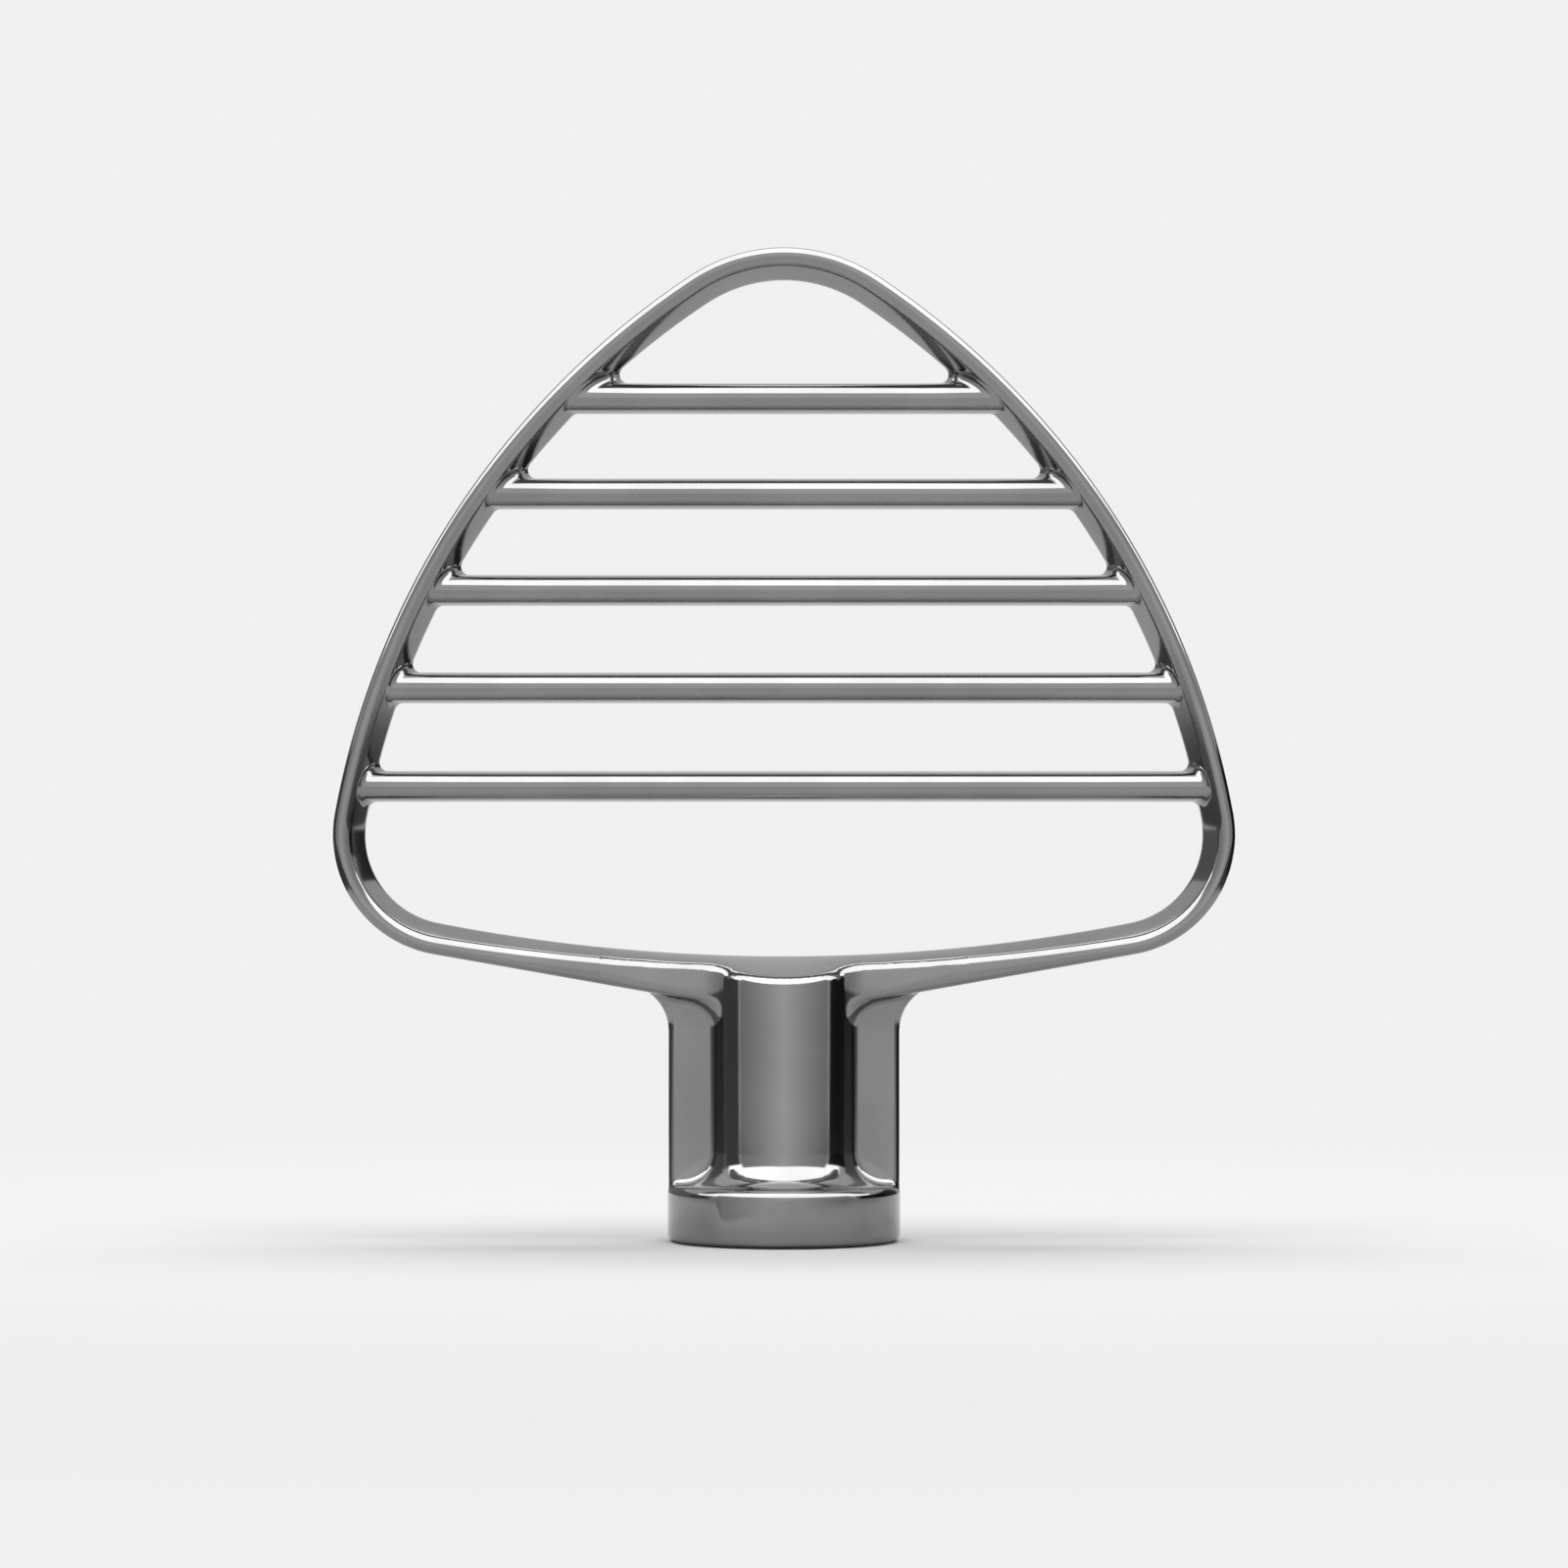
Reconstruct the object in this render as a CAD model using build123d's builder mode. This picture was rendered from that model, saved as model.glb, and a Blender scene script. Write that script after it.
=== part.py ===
from build123d import *
import os
from math import asin, cos, degrees, radians, sin, tan

# Pastry beater for a planetary stand mixer, cast in one piece and polished.
# It stands on its hub: the hub's face is z = 0 and the spindle's axis is Z.
# X runs across the frame and Y through its depth. Lengths are in millimetres, angles in degrees.

# Outer outline of the frame: tangent arcs from the tip down to the sloping underside
total_height = 140.6
tip_radius = 24.1
shoulder_angle = 56.5  # slope of the outline's normal where the tip arc meets the side arc
side_radius = 116.2
corner_drop = 3.77  # from the middle of the last bar to the start of the lower corner
corner_radius = 17.1
underside_slope = 10.0

# Section of the frame: rounded outside, with walls that lean in to the middle plane
frame_depth = 9.2
frame_thickness = 4.65
frame_draft = 28.5
rail_height = 8.45  # of the bottom rail on the axis, from the underside to its top
sill_draft = 16.3
outer_edge_radius = 1.05
land_width = 0.1  # flat left between two rounded edges at the narrowest place
apex_radius = 2.0

# Five cross bars, a little further apart towards the hub
bar_count = 5
first_bar_drop = 21.14  # from the tip to the middle of the first bar
bar_pitch = 13.52
bar_pitch_growth = 0.155
bar_thickness = 4.4
bar_depth = 7.2
bar_draft = 7.4
bar_joint_radius = 1.2  # of the blend between a bar and the frame
bar_embed = 1.4  # from the frame's outline to a bar's end inside the frame

# Hub: a round column that carries the bottom rail, a web at each side of it, and a ring to stand on
column_radius = 10.15
column_blend_radius = 5.0
web_thickness = 5.1
web_edge_radius = 1.0
web_blend_radius = 1.2
neck_inset = 0.15  # of the web's outer edges from the ring's wall
neck_radius = 6.5
neck_entry_angle = 22.0  # angle at which the neck's arc runs into the underside
ring_radius = 16.5
ring_height = 8.1
ring_edge_radius = 1.3
ring_ledge = 0.35  # flat top of the ring between the column's foot and the edge

# Blind bore for the mixer's spindle, with an entry groove and a turned leg for its cross pin
spindle_diameter = 12.7
spindle_clearance = 0.1
bore_roof = 10.45  # metal left between the bore and the top of the rail
bore_chamfer = 0.6
pin_diameter = 4.2
pin_clearance = 0.2
groove_reach = 8.6  # from the axis to the bottom of the pin's groove
groove_height = 15.0
groove_turn_angle = 40.0

tolerance = 0.001
sill_overrun = 0.4  # by which the windows' cutters pass the front of the column

half_depth = frame_depth / 2


def nose(room, depth, draft):
    """Radius that rounds a leaning wall's front edge in the room that the wall's foot leaves for it."""
    return (room - depth * tan(radians(draft))) * cos(radians(draft)) / (1 - sin(radians(draft)))


half_bar_depth = bar_depth / 2
frame_nose = nose(frame_thickness - outer_edge_radius - land_width / 2, half_depth, frame_draft)
bar_nose = nose((bar_thickness - land_width) / 2, half_bar_depth, bar_draft)
half_web = web_thickness / 2
half_neck = ring_radius - neck_inset
cutter_reach = column_radius + sill_overrun
foot_radius = ring_radius - ring_edge_radius - ring_ledge - column_radius
bore_radius = spindle_diameter / 2 + spindle_clearance
groove_width = pin_diameter + 2 * pin_clearance


def direction(angle):
    return Vector(cos(radians(angle)), sin(radians(angle)))


bar_heights = [total_height - first_bar_drop]
for gap in range(bar_count - 1):
    bar_heights.append(bar_heights[-1] - bar_pitch - gap * bar_pitch_growth)

# Arc centres in the XZ plane, each on the normal that it shares with the arc before it
tip_centre = Vector(0, total_height - tip_radius)
side_centre = tip_centre - direction(shoulder_angle) * (side_radius - tip_radius)
corner_start_angle = degrees(asin((bar_heights[-1] - corner_drop - side_centre.Y) / side_radius))
corner_centre = side_centre + direction(corner_start_angle) * (side_radius - corner_radius)
corner_end = corner_centre + direction(underside_slope - 90) * corner_radius


def underside(x):
    """Height of the sloping underside at a distance from the axis."""
    return corner_end.Y - (corner_end.X - x) * tan(radians(underside_slope))


sill_height = underside(0) + rail_height
bore_depth = sill_height - bore_roof


def frame_arcs(inset, lower_angle):
    """Right half of the frame's arcs, from the tip to the lower corner, inset from the outline."""
    CenterArc(tip_centre, tip_radius - inset, shoulder_angle, 90 - shoulder_angle)
    CenterArc(side_centre, side_radius - inset, corner_start_angle, shoulder_angle - corner_start_angle)
    CenterArc(corner_centre, corner_radius - inset, lower_angle, corner_start_angle - lower_angle)


def opening_outline(inset, sill):
    """Right half of the frame's opening: the inset arcs and a sill arc tangent to the corner."""
    corner = corner_radius - inset
    drop = corner_centre.Y - sill
    sill_radius = (corner_centre.X**2 + drop**2 - corner**2) / (2 * (drop - corner))
    sill_centre = Vector(0, sill + sill_radius)
    touch_angle = degrees(asin((corner_centre - sill_centre).normalized().Y))
    frame_arcs(inset, touch_angle)
    CenterArc(sill_centre, sill_radius, -90, 90 + touch_angle)


def opening(depth):
    """The frame's opening as it is at a distance from the middle plane."""
    with BuildSketch(Plane.XZ.offset(depth)) as sketch:
        with BuildLine():
            opening_outline(
                frame_thickness - depth * tan(radians(frame_draft)),
                sill_height - depth * tan(radians(sill_draft)),
            )
            mirror(about=Plane.YZ)
        make_face()
    return sketch.sketch.faces()[0]


def lies_at(edge, distance):
    """Whether an edge keeps one distance from the middle plane."""
    return all(abs(abs((edge @ share).Y) - distance) < tolerance for share in (0, 0.5, 1))


# Cutter for the frame's opening, widening from the middle plane to the front and the back
with BuildPart() as cutter:
    loft([opening(0), opening(cutter_reach)], ruled=True)
    mirror(about=Plane.XZ)

# Cross bars, rounded at the front and the back, with their ends inside the frame
with BuildPart() as bars:
    for height in bar_heights:
        with BuildSketch(Plane.YZ) as section:
            with BuildLine():
                front_edge = bar_thickness / 2 - half_bar_depth * tan(radians(bar_draft))
                Polyline(
                    (0, height + bar_thickness / 2),
                    (half_bar_depth, height + front_edge),
                    (half_bar_depth, height - front_edge),
                    (0, height - bar_thickness / 2),
                    (-half_bar_depth, height - front_edge),
                    (-half_bar_depth, height + front_edge),
                    close=True,
                )
            make_face()
            fillet(section.vertices().filter_by(lambda v: abs(v.X) > tolerance), bar_nose)
            fillet(section.vertices().filter_by(lambda v: abs(v.X) < tolerance), apex_radius)
        extrude(amount=total_height, both=True)
    with BuildSketch(Plane.XZ):
        with BuildLine():
            opening_outline(bar_embed, sill_height)
            mirror(about=Plane.YZ)
        make_face()
    extrude(amount=bar_depth, both=True, mode=Mode.INTERSECT)

# Web at both sides of the column, with the neck's arcs running up into the bottom rail
neck_x = half_neck + neck_radius
neck_drop = neck_radius * cos(radians(neck_entry_angle)) / cos(radians(underside_slope))
neck_centre = Vector(neck_x, underside(neck_x) - neck_drop)
web_foot = ring_height / 2

with BuildPart() as web:
    with BuildSketch(Plane.XZ):
        with BuildLine():
            neck_arc = CenterArc(neck_centre, neck_radius, 90 + underside_slope, 90 - underside_slope)
            Line(neck_arc @ 0, (0, underside(0) + outer_edge_radius))
            Polyline(neck_arc @ 1, (half_neck, web_foot), (0, web_foot))
            mirror(about=Plane.YZ)
        make_face()
    extrude(amount=half_web, both=True)
    web_sides = web.edges().filter_by(
        lambda e: lies_at(e, half_web) and abs(e.center().X) > half_neck - tolerance
        and e.center().Z < (neck_arc @ 0).Y
    )
    fillet(web_sides, web_edge_radius)

with BuildPart() as pastry_beater:
    # Frame plate, with its outer edges rounded
    with BuildSketch(Plane.XZ):
        with BuildLine():
            frame_arcs(0, underside_slope - 90)
            Line(corner_end, (0, underside(0)))
            mirror(about=Plane.YZ)
        make_face()
    extrude(amount=half_depth, both=True)
    fillet(pastry_beater.edges().filter_by(lambda e: lies_at(e, half_depth)), outer_edge_radius)

    # Column up through the bottom rail, then the windows, which also slope the column's top
    with BuildSketch(Plane.XY.offset(ring_height)):
        Circle(column_radius)
    extrude(amount=sill_height + column_radius - ring_height)
    add(cutter.part, mode=Mode.SUBTRACT)

    # Blend the rail into the column, then round the opening's middle ridge and its front and back edges
    rail_edges = pastry_beater.edges().filter_by(Axis.Z).filter_by(
        lambda e: lies_at(e, half_depth) and abs(e.center().X) < column_radius
    )
    fillet(rail_edges, column_blend_radius)
    fillet(pastry_beater.edges().filter_by(lambda e: lies_at(e, 0)), apex_radius)
    rim_edges = pastry_beater.edges().filter_by(
        lambda e: lies_at(e, half_depth) and e.center().Z > bar_heights[0]
    )
    fillet(rim_edges.group_by(SortBy.LENGTH)[0], frame_nose)

    # Bars, blended into the frame's sides
    ring = pastry_beater.part
    add(bars.part)
    joints = new_edges(ring, bars.part, combined=pastry_beater.part)
    fillet(joints, bar_joint_radius)

    # Web, ring and the round foot of the column
    add(web.part)
    with BuildSketch(Plane.XZ):
        with BuildLine():
            edge_x = ring_radius - ring_edge_radius
            foot_x = column_radius + foot_radius
            foot_z = ring_height + foot_radius
            Line((0, 0), (edge_x, 0))
            lower_edge = CenterArc((edge_x, ring_edge_radius), ring_edge_radius, -90, 90)
            upper_edge = CenterArc((edge_x, ring_height - ring_edge_radius), ring_edge_radius, 0, 90)
            Line(lower_edge @ 1, upper_edge @ 0)
            foot = CenterArc((foot_x, foot_z), foot_radius, -90, -90)
            Line(upper_edge @ 1, foot @ 0)
            Polyline(foot @ 1, (0, foot_z), (0, 0))
        make_face()
    revolve(axis=Axis.Z)

    # Blend the web's faces into the column, the rail and the ring, all in one run of edges
    web_edges = pastry_beater.edges().filter_by(Axis.Z).filter_by(
        lambda e: lies_at(e, half_web) and abs(e.center().X) < column_radius
    )
    fillet(web_edges, web_blend_radius)

    # Spindle bore with a chamfered mouth
    with BuildSketch(Plane.XZ):
        with BuildLine():
            Polyline(
                (0, 0),
                (bore_radius + bore_chamfer, 0),
                (bore_radius, bore_chamfer),
                (bore_radius, bore_depth),
                (0, bore_depth),
                close=True,
            )
        make_face()
    revolve(axis=Axis.Z, mode=Mode.SUBTRACT)

    # Pin groove at the back of the bore: straight in from the face, then round to one side
    with BuildSketch():
        Rectangle(groove_width, groove_reach, align=(Align.CENTER, Align.MIN))
    extrude(amount=groove_height, mode=Mode.SUBTRACT)
    with BuildSketch(Plane.YZ):
        with Locations((0, groove_height)):
            Rectangle(groove_reach, groove_width, align=(Align.MIN, Align.MAX))
    revolve(axis=Axis.Z, revolution_arc=groove_turn_angle, mode=Mode.SUBTRACT)

os.makedirs("parts", exist_ok=True)
pastry_beater.part.label = "pastry_beater"
export_step(pastry_beater.part, "parts/pastry_beater.step")
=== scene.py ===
import math

import bmesh
import bpy
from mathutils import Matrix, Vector


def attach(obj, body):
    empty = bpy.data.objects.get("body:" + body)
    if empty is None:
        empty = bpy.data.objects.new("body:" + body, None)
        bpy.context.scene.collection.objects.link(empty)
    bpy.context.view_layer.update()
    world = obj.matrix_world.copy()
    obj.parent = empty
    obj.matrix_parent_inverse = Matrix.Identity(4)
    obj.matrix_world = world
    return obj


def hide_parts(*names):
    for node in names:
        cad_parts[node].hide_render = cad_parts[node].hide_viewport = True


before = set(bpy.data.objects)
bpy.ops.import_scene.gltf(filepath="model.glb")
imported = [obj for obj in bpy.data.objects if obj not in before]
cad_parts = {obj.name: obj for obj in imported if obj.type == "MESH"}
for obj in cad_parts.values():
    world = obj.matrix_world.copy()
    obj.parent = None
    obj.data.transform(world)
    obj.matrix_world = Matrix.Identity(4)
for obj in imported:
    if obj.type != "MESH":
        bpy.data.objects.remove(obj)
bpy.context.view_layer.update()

# Frame: the outer loop of the steel casting, whose inner wall leans in to the parting plane in its middle.
# Its edges are rounded and polished over, so the wall is a round ridge, a flank and a round nose.
# One quarter is modelled, in millimetres, and mirrored to the left and to the back.

total_height = 140.6
tip_radius = 24.1
shoulder_angle = math.radians(56.5)
side_radius = 116.2
corner_start = 60.68  # height at which the lower corner begins on the outline
corner_radius = 17.1
underside_slope = math.radians(10)
half_depth = 4.6
frame_thickness = 4.65
frame_draft = math.radians(28.5)
frame_nose = 1.769
outer_edge_radius = 1.05
ridge_radius = 2.0
sill_height = 40.45
sill_draft = math.radians(16.3)
ridge_steps = 3
nose_steps = 8
tip_steps = 12
side_steps = 60
corner_steps = 24
rail_steps = 24
seam = 0.002  # widest gap that mirroring closes
millimetre = 0.001  # in the scene's metres


def heading(angle):
    return Vector((math.cos(angle), 0, math.sin(angle)))


tip_centre = Vector((0, 0, total_height - tip_radius))
side_centre = tip_centre - heading(shoulder_angle) * (side_radius - tip_radius)
corner_angle = math.asin((corner_start - side_centre.z) / side_radius)
corner_centre = side_centre + heading(corner_angle) * (side_radius - corner_radius)
corner_end = corner_centre + heading(underside_slope - math.pi / 2) * corner_radius
underside_height = corner_end.z - corner_end.x * math.tan(underside_slope)


def wall(draft, front, nose_radius):
    """Section of a leaning wall from its ridge to its front, as offsets into the metal, depths and turns."""
    ridge = ridge_radius / math.cos(draft)
    nose = (nose_radius + (front - nose_radius) * math.sin(draft)) / math.cos(draft)
    section = []
    for step in range(ridge_steps + 1):
        turn = draft * step / ridge_steps
        section.append((ridge - ridge_radius * math.cos(turn), ridge_radius * math.sin(turn), turn))
    for step in range(nose_steps + 1):
        turn = draft + (math.pi / 2 - draft) * step / nose_steps
        depth = front - nose_radius + nose_radius * math.sin(turn)
        section.append((nose - nose_radius * math.cos(turn), depth, turn))
    return section


class Path:
    """A chain of edges, drawn by straight and round strokes."""

    def __init__(self, shape, start):
        self.shape = shape
        self.start = self.end = shape.verts.new(start)

    def line(self, target, steps):
        stroke = (Vector(target) - self.end.co) / steps
        for _ in range(steps):
            self.end = bmesh.ops.extrude_vert_indiv(self.shape, verts=[self.end])["verts"][0]
            bmesh.ops.translate(self.shape, verts=[self.end], vec=stroke)

    def arc(self, centre, turn, steps, deeper=0.0, axis=(0, 1, 0)):
        drawn = bmesh.ops.spin(
            self.shape, geom=[self.end], cent=centre, axis=axis,
            angle=turn, steps=steps, dvec=(0, -deeper / steps, 0),
        )
        self.end = next(part for part in drawn["geom_last"] if isinstance(part, bmesh.types.BMVert))

    def edges(self):
        chain = []
        place = self.start
        while place is not self.end:
            chain.append(next(edge for edge in place.link_edges if edge not in chain[-1:]))
            place = chain[-1].other_vert(place)
        return chain


def skin(shape, rims):
    """Spans a surface from rim to rim."""
    for near, far in zip(rims, rims[1:]):
        bmesh.ops.bridge_loops(shape, edges=near + far)


def mirror_quarter(shape):
    """Mirrors the front right quarter to the left and to the back, and turns the millimetres into metres."""
    for axis in "XY":
        whole = shape.verts[:] + shape.edges[:] + shape.faces[:]
        bmesh.ops.mirror(shape, geom=whole, axis=axis, merge_dist=seam)
    open_edges = [edge for edge in shape.edges if edge.is_boundary]
    bmesh.ops.holes_fill(shape, edges=open_edges, sides=0)
    bmesh.ops.recalc_face_normals(shape, faces=shape.faces)
    bmesh.ops.scale(shape, vec=(millimetre, millimetre, millimetre), verts=shape.verts)


loop = bmesh.new()


def tip_and_side(inset, depth):
    """The upper stretch of a rim, from the tip down to the lower corner."""
    path = Path(loop, (0, -depth, total_height - inset))
    path.arc(tip_centre, math.pi / 2 - shoulder_angle, tip_steps)
    path.arc(side_centre, shoulder_angle - corner_angle, side_steps)
    return path


rims = []
frame_wall = wall(frame_draft, half_depth, frame_nose)
sill_wall = wall(sill_draft, half_depth, frame_nose)
for (offset, depth, _), (sill_offset, sill_depth, _) in zip(frame_wall, sill_wall):
    inset = frame_thickness - offset
    drop = corner_centre.z - sill_height + sill_offset
    round_off = corner_radius - inset
    sill_radius = (corner_centre.x**2 + drop**2 - round_off**2) / (2 * (drop - round_off))
    sill_centre = Vector((0, 0, sill_height - sill_offset + sill_radius))
    touch = math.asin((corner_centre - sill_centre).normalized().z)
    path = tip_and_side(inset, depth)
    path.arc(corner_centre, corner_angle - touch, corner_steps)
    path.arc(sill_centre, touch + math.pi / 2, rail_steps, sill_depth - depth)
    rims.append(path.edges())
for step in range(nose_steps + 2):
    turn = math.pi / 2 * min(step / nose_steps, 1)
    inset = outer_edge_radius * (1 - math.sin(turn))
    depth = half_depth - outer_edge_radius * (1 - math.cos(turn)) if step <= nose_steps else 0
    path = tip_and_side(inset, depth)
    path.arc(corner_centre, corner_angle + math.pi / 2 - underside_slope, corner_steps)
    path.line((0, -depth, underside_height + inset / math.cos(underside_slope)), rail_steps)
    rims.append(path.edges())
skin(loop, rims)
mirror_quarter(loop)

# Cross bars: five rods, cast in one with the frame and a little shallower than it.
# Their fronts are round, and a small blend runs from each end into the frame's inner wall.
# Each rod goes on into the frame a little, so that no gap shows at the blend's edge.

bar_heights = [119.46, 105.94, 92.265, 78.435, 64.45]
bar_thickness = 4.4
bar_front = 3.6
bar_draft = math.radians(7.4)
bar_nose = 1.915
blend_radius = 1.2
blend_steps = 6
bar_steps = 4


def beside_frame(depth):
    """Offset and lean at which a ball of the blend's radius touches the frame's wall at a depth."""
    ridge_reach = ridge_radius + blend_radius
    nose_reach = frame_nose + blend_radius
    nose_depth = half_depth - frame_nose
    if depth < ridge_reach * math.sin(frame_draft):
        lean = math.asin(depth / ridge_reach)
        return ridge_radius / math.cos(frame_draft) - ridge_reach * math.cos(lean), lean
    if depth < nose_depth + nose_reach * math.sin(frame_draft):
        return depth * math.tan(frame_draft) - blend_radius / math.cos(frame_draft), frame_draft
    lean = math.asin((depth - nose_depth) / nose_reach)
    nose = (frame_nose + nose_depth * math.sin(frame_draft)) / math.cos(frame_draft)
    return nose - nose_reach * math.cos(lean), lean


rods = bmesh.new()
bar_wall = wall(bar_draft, bar_front, bar_nose)
for height in bar_heights:
    rims = []
    for side, section in ((1, bar_wall), (-1, bar_wall[::-1])):
        for offset, depth, turn in section:
            outward = Vector((0, -math.sin(turn), side * math.cos(turn)))
            path = Path(rods, (0, -depth, height + side * (bar_thickness / 2 - offset)))
            ball = path.end.co + outward * blend_radius
            clear, lean = beside_frame(-ball.y)
            reach = side_radius - frame_thickness + clear
            rise = math.asin((ball.z - side_centre.z) / reach)
            ball.x = side_centre.x + reach * math.cos(rise)
            inward = heading(rise) * math.cos(lean) + Vector((0, math.sin(lean), 0))
            path.line((ball.x, path.end.co.y, path.end.co.z), bar_steps)
            path.arc(ball, outward.angle(-inward), blend_steps, axis=outward.cross(-inward))
            path.line(path.end.co + inward, 1)
            rims.append(path.edges())
    skin(rods, rims)
mirror_quarter(rods)

# Hub: the rail's middle, the column with the spindle bore, a web at each side and the ring to stand on.
# It is cast in one with the frame, so the solid's own hub is cut out and set into the frame's rail.
# It is polished all over, and the edges left crisp are mainly those at the bore's mouth and its end.

hub_reach = 0.026
hub_top = 0.05
crisp_angle = math.radians(40)
weld_distance = 1e-6

hub = bmesh.new()
hub.from_mesh(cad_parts["pastry_beater"].data)
bmesh.ops.remove_doubles(hub, verts=hub.verts, dist=weld_distance)
for side in (1, -1):
    bmesh.ops.bisect_plane(
        hub, geom=hub.verts[:] + hub.edges[:] + hub.faces[:],
        plane_co=(side * hub_reach, 0, 0), plane_no=(side, 0, 0), clear_outer=True,
    )
    bmesh.ops.bisect_plane(
        loop, geom=loop.verts[:] + loop.edges[:] + loop.faces[:],
        plane_co=(side * hub_reach, 0, 0), plane_no=(side, 0, 0),
    )
above = [face for face in hub.faces if face.calc_center_median().z > hub_top]
bmesh.ops.delete(hub, geom=above, context="FACES")
inside = [face for face in loop.faces
          if abs(face.calc_center_median().x) < hub_reach and face.calc_center_median().z < hub_top]
bmesh.ops.delete(loop, geom=inside, context="FACES")
for edge in hub.edges:
    edge.smooth = edge.calc_face_angle(0.0) < crisp_angle


def add_object(name, data):
    made = bpy.data.objects.new(name, data)
    bpy.context.scene.collection.objects.link(made)
    return made


beater_mesh = bpy.data.meshes.new("beater")
for shape in (rods, hub):
    shape.to_mesh(beater_mesh)
    shape.free()
    loop.from_mesh(beater_mesh)
for face in loop.faces:
    face.smooth = True
loop.to_mesh(beater_mesh)
loop.free()
# The normals stored with the solid's mesh don't fit the joined one
if "custom_normal" in beater_mesh.attributes:
    beater_mesh.attributes.remove(beater_mesh.attributes["custom_normal"])
beater = add_object("beater", beater_mesh)
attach(beater, "root")
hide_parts("pastry_beater")

# Steel: the whole casting is polished bright, and the polish is a little cloudy from place to place.
# A fine grain is left in it, which softens the reflections.


class Shade:
    """A shader socket that takes part in Python expressions."""

    def __init__(self, tree, socket):
        self.tree = tree
        self.socket = socket

    def node(self, kind, output=0, settings=None, **inputs):
        made = self.tree.nodes.new(kind)
        for name, value in (settings or {}).items():
            setattr(made, name, value)
        for name, value in inputs.items():
            socket = made.inputs[int(name[1:]) if name[0] == "_" else name.replace("_", " ")]
            if isinstance(value, Shade):
                self.tree.links.new(value.socket, socket)
            else:
                socket.default_value = value
        return Shade(self.tree, made.outputs[output])

    def maths(self, operation, first, second):
        return self.node("ShaderNodeMath", settings={"operation": operation}, _0=first, _1=second)

    def __add__(self, other):
        return self.maths("ADD", self, other)

    def __radd__(self, other):
        return self.maths("ADD", other, self)

    def __rsub__(self, other):
        return self.maths("SUBTRACT", other, self)

    def __rmul__(self, other):
        return self.maths("MULTIPLY", other, self)

    def between(self, low, high):
        """0 below low, 1 above high, with a smooth step between them."""
        return self.node(
            "ShaderNodeMapRange",
            settings={"interpolation_type": "SMOOTHSTEP"},
            Value=self, From_Min=low, From_Max=high,
        )


def new_material(name):
    """A bare material, its node tree's first Shade on Object coordinates, and its output node."""
    material = bpy.data.materials.new(name)
    material.use_nodes = True
    tree = material.node_tree
    tree.nodes.clear()
    place = Shade(tree, None).node("ShaderNodeTexCoord", output="Object")
    output = tree.nodes.new("ShaderNodeOutputMaterial")
    return material, place, output


steel_light = (0.265, 0.265, 0.268, 1.0)
steel_dark = (0.24, 0.24, 0.243, 1.0)
cloud_scale = 70.0
cloud_low = 0.35
cloud_high = 0.65
grain_scale = 4200.0
grain_strength = 0.01
grain_depth = 0.00002
plain_roughness = 0.08
cloud_roughness = 0.05
grain_roughness = 0.03

polished_steel, place, output = new_material("polished_steel")
cloud = place.node("ShaderNodeTexNoise", Vector=place, Scale=cloud_scale, Detail=3.0)
grain = place.node("ShaderNodeTexNoise", Vector=place, Scale=grain_scale, Detail=2.0)
tint = place.node(
    "ShaderNodeMix", output=2, settings={"data_type": "RGBA"},
    _0=cloud.between(cloud_low, cloud_high), _6=steel_light, _7=steel_dark,
)
polish = plain_roughness + cloud_roughness * cloud + grain_roughness * grain
relief = place.node("ShaderNodeBump", Height=grain, Strength=grain_strength, Distance=grain_depth)
steel = place.node(
    "ShaderNodeBsdfPrincipled", Base_Color=tint, Metallic=1.0, Roughness=polish, Normal=relief,
)
polished_steel.node_tree.links.new(steel.socket, output.inputs["Surface"])
beater_mesh.materials.clear()
beater_mesh.materials.append(polished_steel)

# Floor: the pale sweep that the beater stands on, matt white, bright right up to the horizon.
# Near the beater it is lit as it lies there, and so it keeps the shadow.

pale = 0.875
floor_size = 12.0
lit_radius = 0.12
sweep_radius = 0.36
floor_white = (0.80, 0.80, 0.80, 1.0)
glow_white = (1.0, 1.0, 1.0, 1.0)

floor_shape = bmesh.new()
bmesh.ops.create_grid(floor_shape, x_segments=1, y_segments=1, size=floor_size / 2)
floor_mesh = bpy.data.meshes.new("floor")
floor_shape.to_mesh(floor_mesh)
floor_shape.free()
floor = add_object("floor", floor_mesh)

pale_sweep, place, output = new_material("pale_sweep")
from_beater = place.node("ShaderNodeVectorMath", output="Value", settings={"operation": "LENGTH"}, _0=place)
matt = place.node("ShaderNodeBsdfDiffuse", Color=floor_white)
glow = place.node("ShaderNodeEmission", Color=glow_white, Strength=pale)
floor_look = place.node(
    "ShaderNodeMixShader", _0=from_beater.between(lit_radius, sweep_radius), _1=matt, _2=glow,
)
pale_sweep.node_tree.links.new(floor_look.socket, output.inputs["Surface"])
floor_mesh.materials.append(pale_sweep)

# Studio: a white softbox overhead, grey screens round about, and dark flags and floor panels at the sides.
# The lamp lights the beater and the floor. The screens, flags and panels are glowing cards that light
# nothing: they stand outside the picture and show only in the polish, as painted grey and dark reflections.
# A wide card just under the lamp, glowing a little brighter than it, likewise lights nothing and shows only
# in the polish, as a painted highlight of the softbox.

studio_height = 0.9
softbox_front = -0.30
softbox_back = 0.42
softbox_width = 1.1
softbox_level = 3.65
fill = 0.30
screen_turn = 4  # degrees to each flat of a curved screen
floor_gap = 0.001  # of the floor panels from the floor

softbox_depth = softbox_back - softbox_front
lamp = bpy.data.lights.new("softbox", "AREA")
lamp.shape = "RECTANGLE"
lamp.size = softbox_width
lamp.size_y = softbox_depth
lamp.energy = softbox_level * math.pi * softbox_width * softbox_depth
softbox = add_object("softbox", lamp)
softbox.location = (0, (softbox_front + softbox_back) / 2, studio_height)


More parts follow.
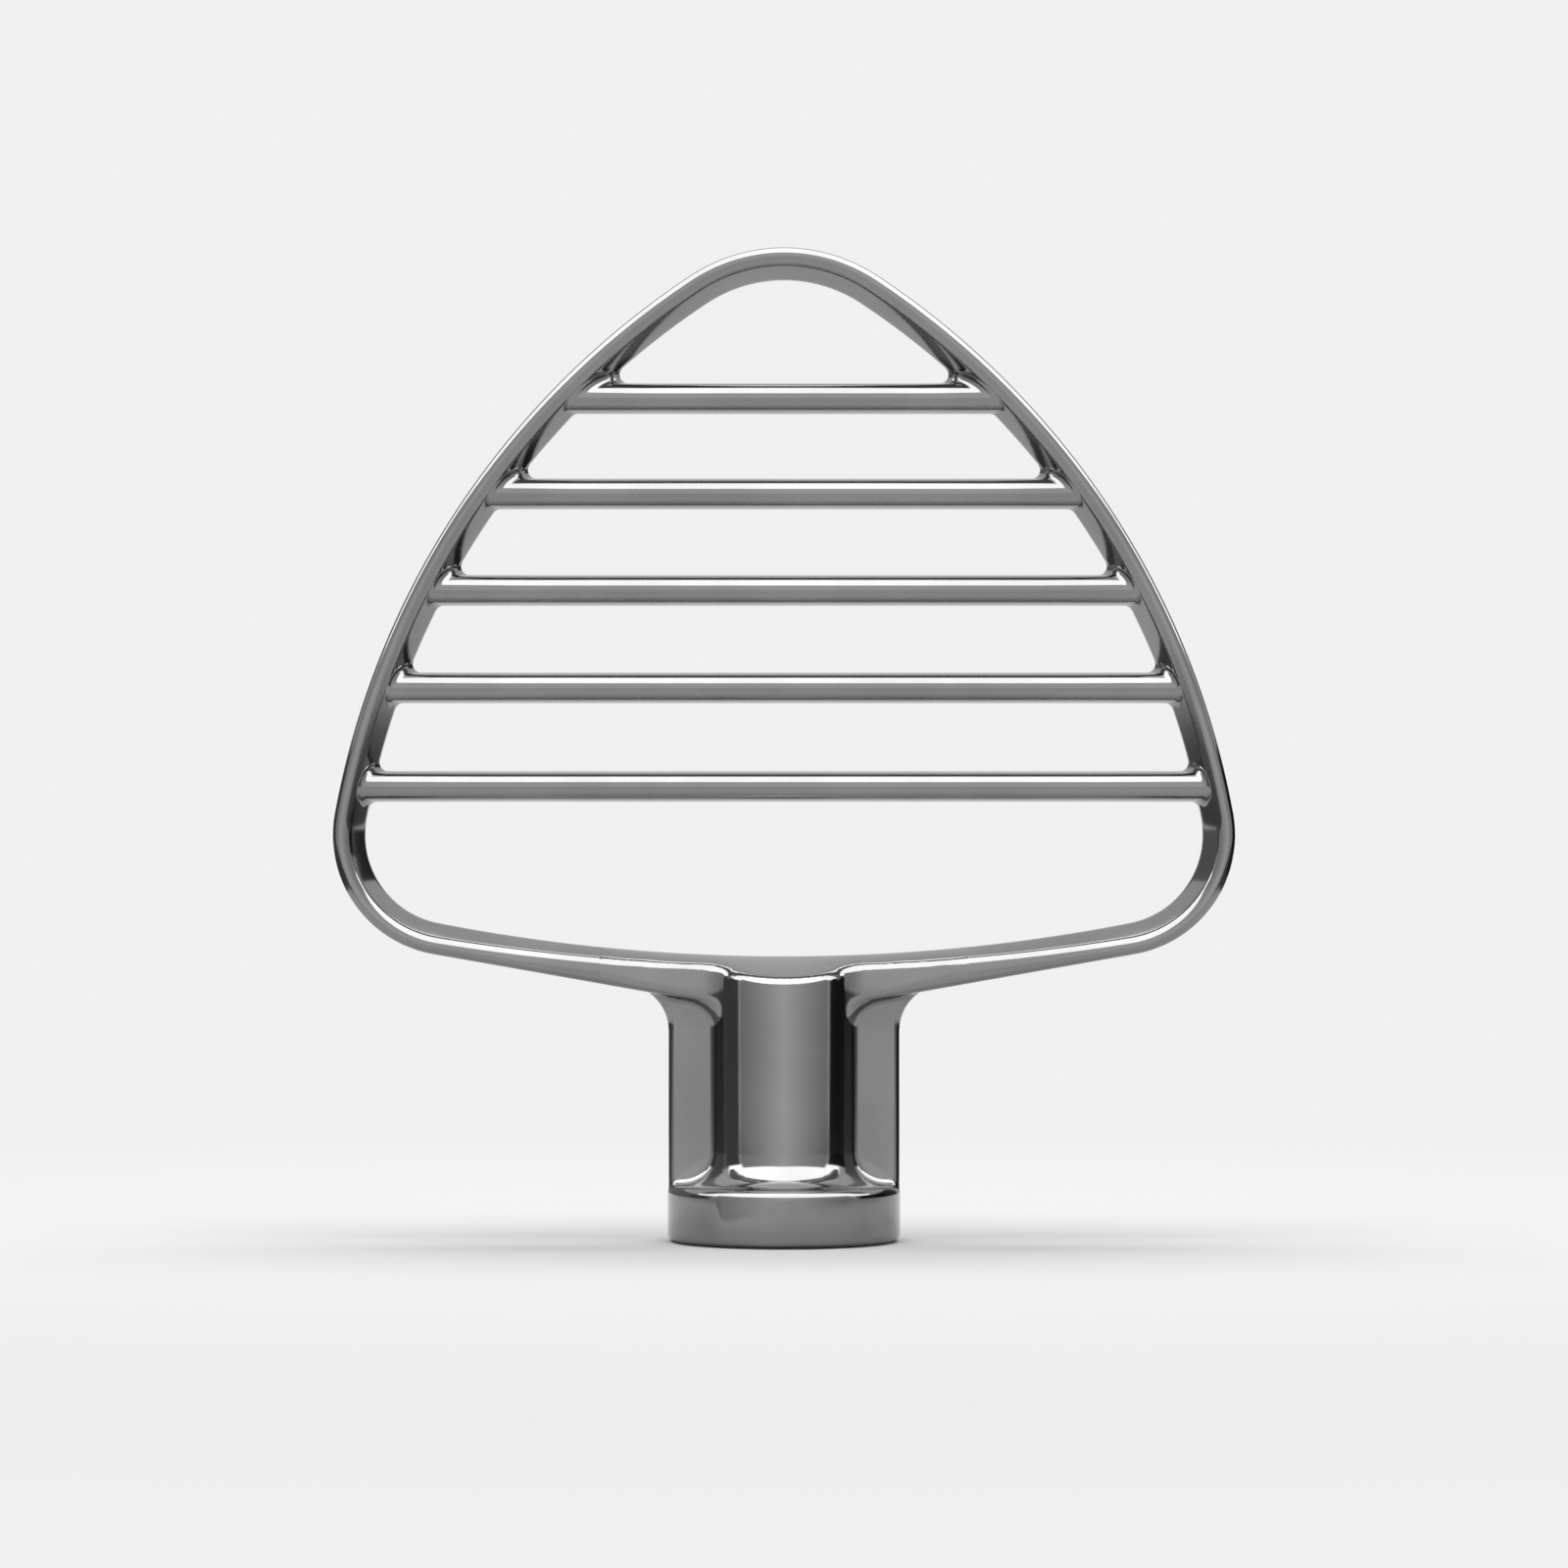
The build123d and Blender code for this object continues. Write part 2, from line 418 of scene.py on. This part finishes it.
def glow_material(name, level, fall):
    """A screen's glow, which falls off by so much for each metre to either side."""
    material, place, output = new_material(name)
    across = place.node("ShaderNodeSeparateXYZ", Vector=place)
    shine = level - fall * place.maths("ABSOLUTE", across, 0.0)
    glow = place.node("ShaderNodeEmission", Color=glow_white, Strength=shine)
    material.node_tree.links.new(glow.socket, output.inputs["Surface"])
    return material


def add_card(name, shape, level, fall):
    """Sets up a glowing card that only the polish shows, and that neither the picture nor the floor does."""
    mesh = bpy.data.meshes.new(name)
    shape.to_mesh(mesh)
    shape.free()
    mesh.materials.append(glow_material(name, level, fall))
    card = add_object(name, mesh)
    card.visible_camera = False
    card.visible_diffuse = False
    card.visible_shadow = False


def screen(name, start, end, top, radius, level, fall=0.0):
    """An upright curved screen round the beater. Its angles run from the camera's side to the right."""
    shape = bmesh.new()
    turn = math.radians(start)
    foot = Vector((radius * math.sin(turn), -radius * math.cos(turn), 0))
    head = foot + Vector((0, 0, top))
    low = shape.verts.new(foot)
    high = shape.verts.new(head)
    edge = shape.edges.new((low, high))
    bmesh.ops.spin(
        shape, geom=[low, high, edge], cent=(0, 0, 0), axis=(0, 0, 1),
        angle=math.radians(end - start), steps=round((end - start) / screen_turn),
    )
    add_card(name, shape, level, fall)


def panel(name, middle, width, front, back, height, level):
    """A level screen, from its front edge to its back edge."""
    shape = bmesh.new()
    bmesh.ops.create_grid(shape, x_segments=1, y_segments=1, size=0.5)
    bmesh.ops.scale(shape, vec=(width, back - front, 1.0), verts=shape.verts)
    bmesh.ops.translate(shape, vec=(middle, (front + back) / 2, height), verts=shape.verts)
    add_card(name, shape, level, fall=0.0)


screen("front_screen", -74, 74, top=1.2, radius=1.25, level=1.12, fall=0.5)
screen("right_flag", 76, 122, top=0.11, radius=0.22, level=0.015)
screen("right_back_flag", 118, 150, top=0.5, radius=0.9, level=0.05)
screen("right_back_screen", 150, 164, top=0.5, radius=0.9, level=0.5)
screen("left_flag", -104, -76, top=0.11, radius=0.22, level=0.12)
screen("left_screen", -164, -104, top=0.5, radius=0.9, level=0.25)
# A painted highlight: a wide card just under the lamp, glowing a little brighter than it, that lights
# nothing and shows only in the polish as the softbox.
panel("painted_softbox_highlight", 0.0, width=4.0, front=-1.16, back=0.38, height=0.88, level=3.8)
# Painted dark reflections: dim cards lying on the pale floor that light nothing and show only in the polish,
# so the floor looks dark there in the metal.
for name, middle in (("left_painted_floor_reflection", -0.66), ("right_painted_floor_reflection", 0.66)):
    panel(name, middle, width=1.0, front=-0.4, back=0.3, height=floor_gap, level=0.12)

world = bpy.data.worlds.new("studio")
bpy.context.scene.world = world
world.use_nodes = True
world.node_tree.nodes.clear()
air = Shade(world.node_tree, None)
in_picture, in_metal, in_glass = (
    air.node("ShaderNodeLightPath", output=ray)
    for ray in ("Is Camera Ray", "Is Glossy Ray", "Is Transmission Ray")
)
shown = in_picture + in_metal + in_glass
sky = air.node("ShaderNodeBackground", Color=glow_white, Strength=fill + (pale - fill) * shown)
world_output = world.node_tree.nodes.new("ShaderNodeOutputWorld")
world.node_tree.links.new(sky.socket, world_output.inputs["Surface"])

# Camera: level and straight in front, a little below half the beater's height.
# Its distance, height and width of view were worked out from the photograph.

picture_width = 0.2224  # metres across the picture at the beater
camera_distance = 0.853
camera_height = 0.0648
sensor_width = 36.0

camera_data = bpy.data.cameras.new("camera")
camera_data.sensor_width = sensor_width
camera_data.lens = sensor_width * camera_distance / picture_width
camera = add_object("camera", camera_data)
camera.location = (0, -camera_distance, camera_height)
camera.rotation_euler = (math.pi / 2, 0, 0)
bpy.context.scene.camera = camera
bpy.context.scene.view_settings.view_transform = "Standard"
